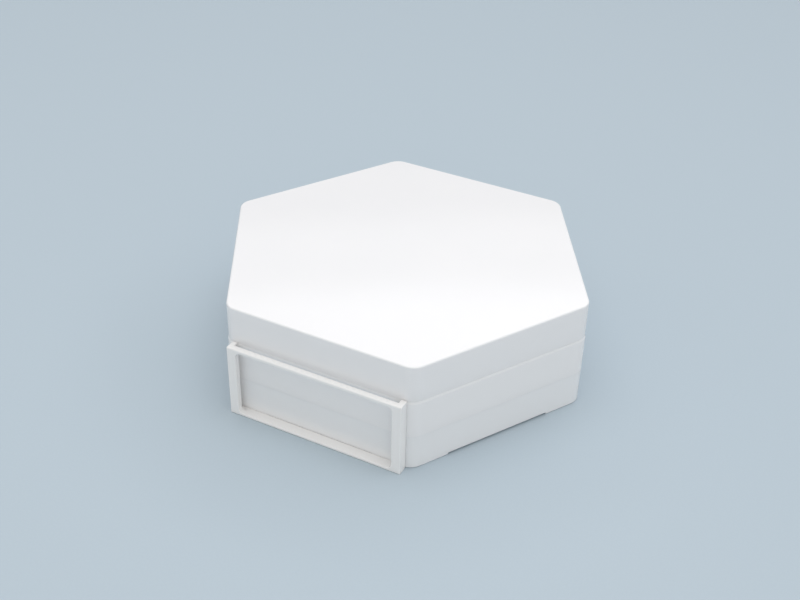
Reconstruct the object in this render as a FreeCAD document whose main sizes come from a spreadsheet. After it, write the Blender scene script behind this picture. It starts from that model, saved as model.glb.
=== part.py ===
import FreeCAD, Part
import math
import os
import Sketcher

# Hexagonal stacking case: base tray, middle tray and lid, with a label frame on the front side.
# Origin: centre of the plane that the feet stand on. +Z is up and the label frame faces -Y.
# Two corners of the hexagon lie on the X axis, so two flat sides face -Y and +Y.

DIMENSIONS = [
    ("side_len", 100.0),      # side of the sharp hexagon, and its corner radius from the centre
    ("corner_rad", 8.0),      # round of the upright corners
    ("lid_high", 19.5),
    ("mid_high", 20.2),
    ("base_high", 18.85),     # feet included
    ("band_proud", 0.3),      # how far the middle tray stands out beyond the lid
    ("base_proud", 0.2),      # how far the base tray stands out beyond the lid
    ("wall", 2.6),
    ("floor_thk", 2.2),
    ("top_thk", 2.6),
    ("top_round", 0.8),       # round along the lid's top edge
    ("shoulder_high", 1.2),   # height of the slope that brings the middle tray's top in to the lid
    ("seam_break", 0.1),      # round on the rims that meet at the seams
    ("lip_high", 3.0),
    ("lip_inset", 1.4),       # outer face of the case to outer face of the locating lip
    ("fit_gap", 0.3),         # clearance round and above the lip
    ("foot_rise", 1.3),       # kept level with sill_high, so no gap shows over the sill
    ("foot_run", 20.7),       # length of each foot along the side, from the sharp corner
    ("foot_round", 0.6),      # round along the outer bottom edge of the feet
    ("frame_wide", 94.0),
    ("frame_tall", 39.55),
    ("frame_deep", 5.45),
    ("plate_thk", 2.75),
    ("ear_thk", 2.7),
    ("stile_wide", 4.8),
    ("rail_high", 2.1),
    ("sill_high", 1.3),
    ("window_round", 2.5),    # corners of the window
    ("window_edge", 0.4),     # round along the window's front edge
    ("plate_round", 0.8),     # round along the plate's top front edge
    ("frame_round", 0.3),     # break on the frame's other outer edges
]

SIDES = 6
TURN = 2 * math.pi / SIDES
APOTHEM = "dims.side_len * cos(30 deg)"

doc = FreeCAD.newDocument("hexagonal_case")
sheet = doc.addObject("Spreadsheet::Sheet", "dims")
for row, (alias, value) in enumerate(DIMENSIONS, start=1):
    sheet.set("A%d" % row, alias)
    sheet.set("B%d" % row, str(value))
    sheet.setAlias("B%d" % row, alias)
doc.recompute()


def size(alias):
    return float(sheet.get(alias))


def new_body(label):
    body = doc.addObject("PartDesign::Body", label)
    body.Label = label
    return body


def new_sketch(body, name, role, height=None):
    """A sketch on one of the body's own origin planes, lifted along its normal by height."""
    sketch = body.newObject("Sketcher::SketchObject", name)
    plane = next(item for item in body.Origin.OriginFeatures if item.Role == role)
    sketch.AttachmentSupport = [(plane, "")]
    sketch.MapMode = "FlatFace"
    if height:
        sketch.setExpression("AttachmentOffset.Base.z", height)
    return sketch


def polar(radius, angle):
    return FreeCAD.Vector(radius * math.cos(angle), radius * math.sin(angle), 0)


def add_hexagon(sketch, tag, inset):
    """A rounded hexagon, inset from the nominal sides by an expression of the sheet."""
    # The seed is the nominal outline; the constraints below pull it to its size.
    apothem = size("side_len") * math.cos(TURN / 2)
    radius = size("corner_rad")
    centre_reach = (apothem - radius) / math.cos(TURN / 2)
    first = sketch.GeometryCount
    for i in range(SIDES):
        normal = -math.pi / 2 + i * TURN
        start = polar(centre_reach, normal - TURN / 2) + polar(radius, normal)
        end = polar(centre_reach, normal + TURN / 2) + polar(radius, normal)
        sketch.addGeometry(Part.LineSegment(start, end), False)
    for i in range(SIDES):
        normal = -math.pi / 2 + i * TURN
        centre = polar(centre_reach, normal + TURN / 2)
        circle = Part.Circle(centre, FreeCAD.Vector(0, 0, 1), radius)
        sketch.addGeometry(Part.ArcOfCircle(circle, normal, normal + TURN), False)
    for i in range(SIDES):
        line = first + i
        arc = first + SIDES + i
        following = first + (i + 1) % SIDES
        sketch.addConstraint(Sketcher.Constraint("Tangent", line, 2, arc, 1))
        sketch.addConstraint(Sketcher.Constraint("Tangent", arc, 2, following, 1))
        if i % 3 == 0:
            sketch.addConstraint(Sketcher.Constraint("Horizontal", line))
        else:
            heading = math.remainder(i * TURN, 2 * math.pi)
            sketch.addConstraint(Sketcher.Constraint("Angle", line, heading))
        reach = sketch.addConstraint(Sketcher.Constraint("Distance", -1, 1, line, apothem))
        sketch.renameConstraint(reach, "%s_reach_%d" % (tag, i))
        sketch.setExpression("Constraints.%s_reach_%d" % (tag, i), "%s - (%s)" % (APOTHEM, inset))
        if i:
            sketch.addConstraint(Sketcher.Constraint("Equal", first + SIDES, arc))
    bend = sketch.addConstraint(Sketcher.Constraint("Radius", first + SIDES, radius))
    sketch.renameConstraint(bend, "%s_corner" % tag)
    sketch.setExpression("Constraints.%s_corner" % tag, "dims.corner_rad - (%s)" % inset)


def add_rectangle(sketch, tag, left, right, low, high):
    """A rectangle whose four sides are expressions, as distances from the sketch's origin."""
    bounds = {"left": left, "right": right, "low": low, "high": high}
    seed = {"left": -10.0, "right": 10.0, "low": 1.0, "high": 20.0}
    corners = [("left", "low"), ("right", "low"), ("right", "high"), ("left", "high")]
    points = [FreeCAD.Vector(seed[x], seed[y], 0) for x, y in corners]
    first = sketch.GeometryCount
    for i in range(4):
        sketch.addGeometry(Part.LineSegment(points[i], points[(i + 1) % 4]), False)
    for i in range(4):
        following = first + (i + 1) % 4
        sketch.addConstraint(Sketcher.Constraint("Coincident", first + i, 2, following, 1))
        kind = "Vertical" if i % 2 else "Horizontal"
        sketch.addConstraint(Sketcher.Constraint(kind, first + i))
    # The first corner sets left and low, the third sets right and high.
    for side, kind, vertex in [("left", "DistanceX", 0), ("low", "DistanceY", 0),
                               ("right", "DistanceX", 2), ("high", "DistanceY", 2)]:
        made = sketch.addConstraint(Sketcher.Constraint(kind, -1, 1, first + vertex, 1, seed[side]))
        sketch.renameConstraint(made, "%s_%s" % (tag, side))
        sketch.setExpression("Constraints.%s_%s" % (tag, side), bounds[side])


def pad(body, sketch, name, length):
    feature = body.newObject("PartDesign::Pad", name)
    feature.Profile = sketch
    feature.setExpression("Length", length)
    doc.recompute()
    return feature


def pocket(body, sketch, name, length, reversed_cut=False):
    """A blind cut, which has to take material away."""
    before = body.Shape.Volume
    feature = body.newObject("PartDesign::Pocket", name)
    feature.Profile = sketch
    feature.Reversed = reversed_cut
    feature.setExpression("Length", length)
    doc.recompute()
    if body.Shape.Volume > before - 1.0:
        raise RuntimeError("%s cuts nothing" % name)
    return feature


def picked_edges(body, name, wanted):
    """The body's tip, with the names of its edges that the test picks."""
    names = ["Edge%d" % (i + 1) for i, edge in enumerate(body.Tip.Shape.Edges) if wanted(edge)]
    if not names:
        raise RuntimeError("%s finds no edge" % name)
    return body.Tip, names


def fillet(body, name, radius, wanted):
    """Round the edges that the test picks."""
    picked = picked_edges(body, name, wanted)
    feature = body.newObject("PartDesign::Fillet", name)
    feature.Base = picked
    feature.setExpression("Radius", radius)
    doc.recompute()
    return feature


def slope(body, name, height, inset, wanted):
    """A long shallow chamfer along the upper edges that the test picks."""
    picked = picked_edges(body, name, wanted)
    feature = body.newObject("PartDesign::Chamfer", name)
    feature.Base = picked
    feature.ChamferType = "Two distances"
    feature.setExpression("Size", height)
    feature.setExpression("Size2", inset)
    doc.recompute()
    top = max(body.Shape.Faces, key=lambda face: face.CenterOfMass.z)
    trimmed = size("side_len") * math.cos(TURN / 2)
    if abs(top.BoundBox.YMax - trimmed) > 0.05:
        feature.FlipDirection = not feature.FlipDirection
        doc.recompute()
    return feature


def outer_edge_at(level, proud=0.0):
    """A test for edges of the outermost outline at one height."""
    apothem = size("side_len") * math.cos(TURN / 2) + proud
    tolerance = 0.02

    def test(edge):
        box = edge.BoundBox
        if abs(box.ZMin - level) > tolerance or abs(box.ZMax - level) > tolerance:
            return False
        middle = edge.valueAt((edge.FirstParameter + edge.LastParameter) / 2)
        if isinstance(edge.Curve, Part.Circle):
            return abs(edge.Curve.Radius - size("corner_rad") - proud) < tolerance
        angle = math.atan2(middle.y, middle.x)
        nearest = round((angle + math.pi / 2) / TURN) * TURN - math.pi / 2
        normal = polar(1.0, nearest)
        return abs(middle.x * normal.x + middle.y * normal.y - apothem) < tolerance

    return test


def add_lip(body, level):
    """The raised inner half of the wall, which locates the shell above."""
    sketch = new_sketch(body, body.Label + "_lip_sketch", "XY_Plane", level)
    add_hexagon(sketch, "outer", "dims.lip_inset")
    add_hexagon(sketch, "inner", "dims.wall")
    doc.recompute()
    return pad(body, sketch, body.Label + "_lip", "dims.lip_high")


def add_rebate(body):
    """The recess under a shell that fits round the lip below it."""
    sketch = new_sketch(body, body.Label + "_rebate_sketch", "XY_Plane")
    add_hexagon(sketch, "rebate", "dims.lip_inset - dims.fit_gap")
    doc.recompute()
    return pocket(body, sketch, body.Label + "_rebate", "dims.lip_high + dims.fit_gap", True)


def hollow_from_top(body, height, depth):
    sketch = new_sketch(body, body.Label + "_hollow_sketch", "XY_Plane", height)
    add_hexagon(sketch, "hollow", "dims.wall")
    doc.recompute()
    return pocket(body, sketch, body.Label + "_hollow", depth)


def outer_block(body, inset, height):
    sketch = new_sketch(body, body.Label + "_outline", "XY_Plane")
    add_hexagon(sketch, "outline", inset)
    doc.recompute()
    return pad(body, sketch, body.Label + "_block", height)


def make_base_tray():
    body = new_body("base_tray")
    outer_block(body, "-dims.base_proud", "dims.base_high")
    # The underside is raised between the corners, which leaves six kite-shaped feet.
    relief_sketch = new_sketch(body, "relief_sketch", "XY_Plane")
    half = "dims.side_len / 2 - dims.foot_run"
    add_rectangle(relief_sketch, "relief", "-(%s)" % half, half, "0", "dims.side_len")
    doc.recompute()
    relief = pocket(body, relief_sketch, "relief", "dims.foot_rise", True)
    feet = body.newObject("PartDesign::PolarPattern", "feet")
    feet.Originals = [relief]
    feet.Axis = (relief_sketch, ["N_Axis"])
    feet.Angle = 360
    feet.Occurrences = SIDES
    body.Tip = feet
    doc.recompute()
    proud = size("base_proud")
    fillet(body, "foot_edges", "dims.foot_round", outer_edge_at(0.0, proud))
    fillet(body, "base_rim", "dims.seam_break", outer_edge_at(size("base_high"), proud))
    hollow_from_top(body, "dims.base_high", "dims.base_high - dims.foot_rise - dims.floor_thk")
    add_lip(body, "dims.base_high")
    return body


def make_middle_tray():
    body = new_body("middle_tray")
    outer_block(body, "-dims.band_proud", "dims.mid_high")
    proud = size("band_proud")
    slope(body, "shoulder", "dims.shoulder_high", "dims.band_proud",
          outer_edge_at(size("mid_high"), proud))
    fillet(body, "lower_rim", "dims.seam_break", outer_edge_at(0.0, proud))
    skirt = "dims.lip_high + dims.fit_gap"
    hollow_from_top(body, "dims.mid_high", "dims.mid_high - (%s) - dims.floor_thk" % skirt)
    add_rebate(body)
    add_lip(body, "dims.mid_high")
    body.setExpression("Placement.Base.z", "dims.base_high")
    return body


def make_lid():
    body = new_body("lid")
    outer_block(body, "0", "dims.lid_high")
    fillet(body, "lid_edge", "dims.top_round", outer_edge_at(size("lid_high")))
    fillet(body, "lid_rim", "dims.seam_break", outer_edge_at(0.0))
    sketch = new_sketch(body, "lid_hollow_sketch", "XY_Plane")
    add_hexagon(sketch, "hollow", "dims.wall")
    doc.recompute()
    pocket(body, sketch, "lid_hollow", "dims.lid_high - dims.top_thk", True)
    add_rebate(body)
    body.setExpression("Placement.Base.z", "dims.base_high + dims.mid_high")
    return body


def make_label_frame():
    """A front plate with a window, two full-depth ears and a sill; open at the top and the back."""
    body = new_body("label_frame")
    # Local XZ is the frame's face; local y = 0 is its back, and it comes forward to -frame_deep.
    face = new_sketch(body, "frame_face", "XZ_Plane")
    add_rectangle(face, "face", "-dims.frame_wide / 2", "dims.frame_wide / 2",
                  "0", "dims.frame_tall")
    doc.recompute()
    pad(body, face, "frame_block", "dims.frame_deep")
    slot = new_sketch(body, "slot_sketch", "XZ_Plane")
    slot_half = "dims.frame_wide / 2 - dims.ear_thk"
    add_rectangle(slot, "slot", "-(%s)" % slot_half, slot_half,
                  "dims.sill_high", "dims.frame_tall + 1")
    doc.recompute()
    pocket(body, slot, "card_slot", "dims.frame_deep - dims.plate_thk", True)
    window = new_sketch(body, "window_sketch", "XZ_Plane")
    window_half = "dims.frame_wide / 2 - dims.stile_wide"
    add_rectangle(window, "window", "-(%s)" % window_half, window_half,
                  "dims.sill_high", "dims.frame_tall - dims.rail_high")
    doc.recompute()
    pocket(body, window, "window", "dims.frame_deep + 1", True)
    half_window = size("frame_wide") / 2 - size("stile_wide")
    half_frame = size("frame_wide") / 2
    front = -size("frame_deep")

    def near(value, target):
        return abs(value - target) < 0.02

    def window_corner(edge):
        box = edge.BoundBox
        return near(box.YLength, size("plate_thk")) and near(abs(box.Center.x), half_window)

    def on_front(edge):
        return near(edge.BoundBox.YMin, front) and edge.BoundBox.YLength < 0.02

    def window_front(edge):
        box = edge.BoundBox
        in_width = box.XMin > 0.02 - half_frame and box.XMax < half_frame - 0.02
        return on_front(edge) and in_width and box.ZMin > 0.02 and box.ZMax < size("frame_tall") - 0.02

    def plate_top(edge):
        return on_front(edge) and near(edge.BoundBox.ZMin, size("frame_tall"))

    def outer_break(edge):
        box = edge.BoundBox
        upright = near(abs(box.Center.x), half_frame) and box.XLength < 0.02
        along_bottom = near(box.ZMax, 0.0) and on_front(edge)
        return (upright and (on_front(edge) or near(box.ZMin, size("frame_tall")))) or along_bottom

    fillet(body, "window_corners", "dims.window_round", window_corner)
    fillet(body, "window_edges", "dims.window_edge", window_front)
    fillet(body, "plate_top_edge", "dims.plate_round", plate_top)
    fillet(body, "frame_edges", "dims.frame_round", outer_break)
    body.setExpression("Placement.Base.y", "-(%s) - dims.band_proud" % APOTHEM)
    return body


parts = [make_base_tray(), make_middle_tray(), make_lid(), make_label_frame()]
doc.recompute()

for item in doc.Objects:
    if "Invalid" in item.State or "Error" in item.State:
        raise RuntimeError("%s failed: %s" % (item.Name, item.State))

for part in parts:
    shape = part.Shape
    if shape.isNull() or not shape.isValid() or len(shape.Solids) != 1:
        raise RuntimeError("%s is not one valid solid" % part.Label)

os.makedirs("parts", exist_ok=True)
for part in parts:
    part.Shape.exportStep("parts/%s.step" % part.Label)
    box = part.Shape.BoundBox
    print(part.Label, "volume %.0f" % part.Shape.Volume,
          "x %.2f %.2f" % (box.XMin, box.XMax),
          "y %.2f %.2f" % (box.YMin, box.YMax),
          "z %.2f %.2f" % (box.ZMin, box.ZMax))
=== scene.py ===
import math
import bmesh
import bpy
from mathutils import Matrix, Vector


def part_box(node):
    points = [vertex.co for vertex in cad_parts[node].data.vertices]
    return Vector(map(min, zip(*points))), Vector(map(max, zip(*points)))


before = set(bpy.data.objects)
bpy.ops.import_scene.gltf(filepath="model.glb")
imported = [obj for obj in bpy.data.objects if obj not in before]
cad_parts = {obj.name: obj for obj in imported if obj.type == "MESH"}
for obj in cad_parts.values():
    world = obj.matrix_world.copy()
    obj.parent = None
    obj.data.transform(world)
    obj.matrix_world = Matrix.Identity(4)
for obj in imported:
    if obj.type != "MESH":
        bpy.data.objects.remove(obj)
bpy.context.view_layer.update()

SIDES = 6
TURN = 2 * math.pi / SIDES
BASE_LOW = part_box("base_tray")[0]
LID_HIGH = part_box("lid")[1]

# The camera's place is in lengths of the hexagon's side.
CAMERA_PLACE = (2.31137, -4.56391, 3.71722)
CAMERA_FORWARD = (-0.377769, 0.739001, -0.557825)
CAMERA_RIGHT = (0.88402, 0.46702, 0.020029)
CAMERA_LENS = 53.033
SENSOR_WIDTH = 36.0
CLIP_START = 0.01
CLIP_END = 20.0

# The surround, as radiance by direction. Behind the object it is dim near the horizon, and a
# brighter ceiling starts part of the way up. In front of it the light is brighter on the right.
CEILING_SKEW = 0.05
CEILING_START = 0.521
CEILING_SOFTNESS = 0.018
CEILING_FADE_START = 0.63
CEILING_FADE_END = 0.72
HORIZON_TOP = 0.47
HORIZON_SOFTNESS = 0.02
HORIZON_GLOW = (0.34, 0.34, 0.36)
WALL_GLOW = (0.92, 0.92, 0.93)
CEILING_NEAR = (1.9, 1.9, 1.93)
CEILING_TOP = (0.98, 1.0, 1.05)
FRONT_GLOW = (0.75, 0.742, 0.735)
RIGHT_GLOW = (0.876, 0.85, 0.82)
LEFT_LOSS = 0.66

# Where one part of the surround gives way to the next, as a range of one axis of the direction.
LEFT_TO_REAR = ("X", -0.60, -0.28)
FRONT_TO_RIGHT = ("X", 0.05, 0.6)
FRONT_TO_REAR = ("Y", -0.25, 0.35)

OVERHEAD_PLACE = (0.05, -0.12, 1.3)
OVERHEAD_TARGET = (0, 0, 0)
OVERHEAD_WIDTH = 1.3
OVERHEAD_HEIGHT = 1.0
OVERHEAD_POWER = 4.1

FLOOR_REACH = 6.0
FLOOR_CELLS = 8
FLOOR_GAP = 0.0001
FLOOR_ROUGHNESS = 0.85
FLOOR_GRAIN = 900.0
FLOOR_TINTS = ((0.46, 0.545, 0.605), (0.485, 0.57, 0.63))

# Heights and depths are in metres, and a noise scale is its cells per metre.
PLASTIC_IOR = 1.49
SCATTER_WEIGHT = 0.12
SCATTER_DEPTH = (0.004, 0.004, 0.004)
SCATTER_SCALE = 1.0
NOISE_RANGE = (0.3, 0.7)
CLOUD_SCALE, CLOUD_DETAIL = 22.0, 4.0
SMEAR_SCALE, SMEAR_DETAIL, SMEAR_STRETCH = 35.0, 5.0, (1.0, 2.2, 1.0)
SMEAR_GLOSS = (-0.02, 0.03)
SCUFF_SCALE, SCUFF_DETAIL, SCUFF_STRETCH = 420.0, 3.0, (1.0, 9.0, 1.0)
SCUFF_GLOSS = (0.0, 0.04)
SCUFF_RANGE = (0.62, 0.72)
RIPPLE_SCALE, RIPPLE_DETAIL, RIPPLE_HEIGHT = 28.0, 2.0, 0.0006
FINE_SCALE, FINE_DETAIL, FINE_HEIGHT = 1600.0, 2.0, 0.00006
FINE_STRENGTH = 0.06


def camera():
    """The photograph's view: from the front right, about 34 degrees above the table."""
    side = LID_HIGH.y / math.cos(TURN / 2)
    data = bpy.data.cameras.new("camera")
    data.sensor_width = SENSOR_WIDTH
    data.lens = CAMERA_LENS
    data.clip_start = CLIP_START
    data.clip_end = CLIP_END
    made = bpy.data.objects.new("camera", data)
    bpy.context.scene.collection.objects.link(made)
    place = Vector(CAMERA_PLACE) * side
    forward = Vector(CAMERA_FORWARD).normalized()
    right = Vector(CAMERA_RIGHT)
    right = (right - forward * right.dot(forward)).normalized()
    up = right.cross(forward)
    turn = Matrix((right, up, -forward)).transposed().to_4x4()
    made.matrix_world = Matrix.Translation(place) @ turn
    bpy.context.scene.camera = made


def area_light(name, place, target, width, height, power):
    """A soft box facing a target, with its width level."""
    data = bpy.data.lights.new(name, "AREA")
    data.shape = "RECTANGLE"
    data.size = width
    data.size_y = height
    data.energy = power
    made = bpy.data.objects.new(name, data)
    bpy.context.scene.collection.objects.link(made)
    made.location = place
    made.rotation_mode = "QUATERNION"
    made.rotation_quaternion = (Vector(target) - Vector(place)).to_track_quat("-Z", "Y")


def sky(world):
    """The surround: a rear wall and ceiling that fade to the left, and a front that is brighter right."""
    nodes, links = world.node_tree.nodes, world.node_tree.links
    place = nodes.new("ShaderNodeTexCoord")
    split = nodes.new("ShaderNodeSeparateXYZ")
    links.new(place.outputs["Generated"], split.inputs["Vector"])

    def span(where, low, high):
        axis, start, end = where
        made = nodes.new("ShaderNodeMapRange")
        made.interpolation_type = "SMOOTHSTEP"
        made.inputs["From Min"].default_value = start
        made.inputs["From Max"].default_value = end
        made.inputs["To Min"].default_value = low
        made.inputs["To Max"].default_value = high
        links.new(split.outputs[axis], made.inputs["Value"])
        return made.outputs["Result"]

    def mix(factor, first, second):
        made = nodes.new("ShaderNodeMix")
        made.data_type = "RGBA"
        made.clamp_result = False
        links.new(factor, made.inputs["Factor"])
        for socket, value in (("A", first), ("B", second)):
            if isinstance(value, tuple):
                made.inputs[socket].default_value = (*value, 1.0)
            else:
                links.new(value, made.inputs[socket])
        return made.outputs["Result"]

    # The ceiling's edge is a little higher on one side, so a reflection of it runs slightly askew.
    slope = nodes.new("ShaderNodeMath")
    slope.operation = "MULTIPLY_ADD"
    slope.inputs[1].default_value = CEILING_SKEW
    links.new(split.outputs["X"], slope.inputs[0])
    links.new(split.outputs["Z"], slope.inputs[2])
    ramp = nodes.new("ShaderNodeValToRGB")
    ramp.color_ramp.interpolation = "LINEAR"
    stops = ramp.color_ramp.elements
    stops[0].position = HORIZON_TOP
    stops[0].color = (*HORIZON_GLOW, 1.0)
    stops[1].position = HORIZON_TOP + HORIZON_SOFTNESS
    stops[1].color = (*WALL_GLOW, 1.0)
    levels = [(CEILING_START, WALL_GLOW), (CEILING_START + CEILING_SOFTNESS, CEILING_NEAR),
              (CEILING_FADE_START, CEILING_NEAR), (CEILING_FADE_END, CEILING_TOP)]
    for level, glow in levels:
        stops.new(level).color = (*glow, 1.0)
    links.new(slope.outputs["Value"], ramp.inputs["Fac"])
    rear = nodes.new("ShaderNodeVectorMath")
    rear.operation = "SCALE"
    links.new(ramp.outputs["Color"], rear.inputs[0])
    links.new(span(LEFT_TO_REAR, LEFT_LOSS, 1.0), rear.inputs["Scale"])
    front = mix(span(FRONT_TO_RIGHT, 0.0, 1.0), FRONT_GLOW, RIGHT_GLOW)
    whole = mix(span(FRONT_TO_REAR, 0.0, 1.0), front, rear.outputs["Vector"])
    links.new(whole, nodes["Background"].inputs["Color"])


def studio():
    world = bpy.data.worlds.new("studio")
    world.use_nodes = True
    sky(world)
    bpy.context.scene.world = world
    bpy.context.scene.view_settings.view_transform = "Standard"
    area_light("overhead", OVERHEAD_PLACE, OVERHEAD_TARGET, OVERHEAD_WIDTH, OVERHEAD_HEIGHT,
               OVERHEAD_POWER)


def floor():
    mesh = bpy.data.meshes.new("floor")
    bm = bmesh.new()
    bmesh.ops.create_grid(bm, x_segments=FLOOR_CELLS, y_segments=FLOOR_CELLS, size=FLOOR_REACH)
    bm.to_mesh(mesh)
    bm.free()
    made = bpy.data.objects.new("floor", mesh)
    bpy.context.scene.collection.objects.link(made)
    made.location.z = BASE_LOW.z - FLOOR_GAP
    material = bpy.data.materials.new("pale_paper")
    material.use_nodes = True
    nodes, links = material.node_tree.nodes, material.node_tree.links
    shader = nodes["Principled BSDF"]
    shader.inputs["Roughness"].default_value = FLOOR_ROUGHNESS
    grain = nodes.new("ShaderNodeTexNoise")
    grain.inputs["Scale"].default_value = FLOOR_GRAIN
    place = nodes.new("ShaderNodeTexCoord")
    links.new(place.outputs["Object"], grain.inputs["Vector"])
    tint = nodes.new("ShaderNodeMix")
    tint.data_type = "RGBA"
    for socket, colour in zip(("A", "B"), FLOOR_TINTS):
        tint.inputs[socket].default_value = (*colour, 1.0)
    links.new(grain.outputs["Fac"], tint.inputs["Factor"])
    links.new(tint.outputs["Result"], shader.inputs["Base Color"])
    mesh.materials.append(material)


def plastic(name, colour, cloud, roughness, ripple):
    """Moulded plastic: clouded tint, varying gloss, a faint moulding ripple and fine handling marks."""
    material = bpy.data.materials.new(name)
    material.use_nodes = True
    nodes, links = material.node_tree.nodes, material.node_tree.links
    shader = nodes["Principled BSDF"]
    shader.inputs["IOR"].default_value = PLASTIC_IOR
    shader.inputs["Subsurface Weight"].default_value = SCATTER_WEIGHT
    shader.inputs["Subsurface Radius"].default_value = SCATTER_DEPTH
    shader.inputs["Subsurface Scale"].default_value = SCATTER_SCALE
    place = nodes.new("ShaderNodeTexCoord")

    def noise(scale, detail, stretch=(1.0, 1.0, 1.0)):
        turn = nodes.new("ShaderNodeMapping")
        turn.inputs["Scale"].default_value = stretch
        made = nodes.new("ShaderNodeTexNoise")
        made.inputs["Scale"].default_value = scale
        made.inputs["Detail"].default_value = detail
        links.new(place.outputs["Object"], turn.inputs["Vector"])
        links.new(turn.outputs["Vector"], made.inputs["Vector"])
        return made.outputs["Fac"]

    def span(value, to, within=NOISE_RANGE):
        made = nodes.new("ShaderNodeMapRange")
        made.inputs["From Min"].default_value = within[0]
        made.inputs["From Max"].default_value = within[1]
        made.inputs["To Min"].default_value = to[0]
        made.inputs["To Max"].default_value = to[1]
        links.new(value, made.inputs["Value"])
        return made.outputs["Result"]

    tint = nodes.new("ShaderNodeMix")
    tint.data_type = "RGBA"
    tint.inputs["A"].default_value = (*colour, 1.0)
    tint.inputs["B"].default_value = (*cloud, 1.0)
    links.new(span(noise(CLOUD_SCALE, CLOUD_DETAIL), (0.0, 1.0)), tint.inputs["Factor"])
    links.new(tint.outputs["Result"], shader.inputs["Base Color"])

    smear = span(noise(SMEAR_SCALE, SMEAR_DETAIL, SMEAR_STRETCH), SMEAR_GLOSS)
    scuff = span(noise(SCUFF_SCALE, SCUFF_DETAIL, SCUFF_STRETCH), SCUFF_GLOSS, SCUFF_RANGE)
    total = nodes.new("ShaderNodeMath")
    total.operation = "ADD"
    links.new(smear, total.inputs[0])
    links.new(scuff, total.inputs[1])
    gloss = nodes.new("ShaderNodeMath")
    gloss.operation = "ADD"
    gloss.inputs[1].default_value = roughness
    links.new(total.outputs["Value"], gloss.inputs[0])
    links.new(gloss.outputs["Value"], shader.inputs["Roughness"])

    broad = nodes.new("ShaderNodeBump")
    broad.inputs["Strength"].default_value = ripple
    broad.inputs["Distance"].default_value = RIPPLE_HEIGHT
    links.new(noise(RIPPLE_SCALE, RIPPLE_DETAIL), broad.inputs["Height"])
    fine = nodes.new("ShaderNodeBump")
    fine.inputs["Strength"].default_value = FINE_STRENGTH
    fine.inputs["Distance"].default_value = FINE_HEIGHT
    links.new(noise(FINE_SCALE, FINE_DETAIL), fine.inputs["Height"])
    links.new(broad.outputs["Normal"], fine.inputs["Normal"])
    links.new(fine.outputs["Normal"], shader.inputs["Normal"])
    return material


def dress(node, material):
    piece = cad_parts[node]
    piece.data.materials.clear()
    piece.data.materials.append(material)


camera()
studio()
floor()
case_plastic = plastic("case_plastic", (0.885, 0.887, 0.892), (0.90, 0.90, 0.903), 0.09, 0.10)
# The base tray's white is a little darker and bluer than the case's. This is painted shade for the lower
# band, which gets less light from above and more blue from the floor.
base_plastic_painted_shade = plastic("base_plastic_painted_shade", (0.858, 0.868, 0.877), (0.872, 0.881, 0.888), 0.10, 0.10)
lid_plastic = plastic("lid_plastic", (0.887, 0.889, 0.897), (0.90, 0.90, 0.906), 0.045, 0.04)
frame_plastic = plastic("frame_plastic", (0.895, 0.89, 0.88), (0.908, 0.904, 0.896), 0.11, 0.08)
dress("base_tray", base_plastic_painted_shade)
dress("middle_tray", case_plastic)
dress("lid", lid_plastic)
dress("label_frame", frame_plastic)
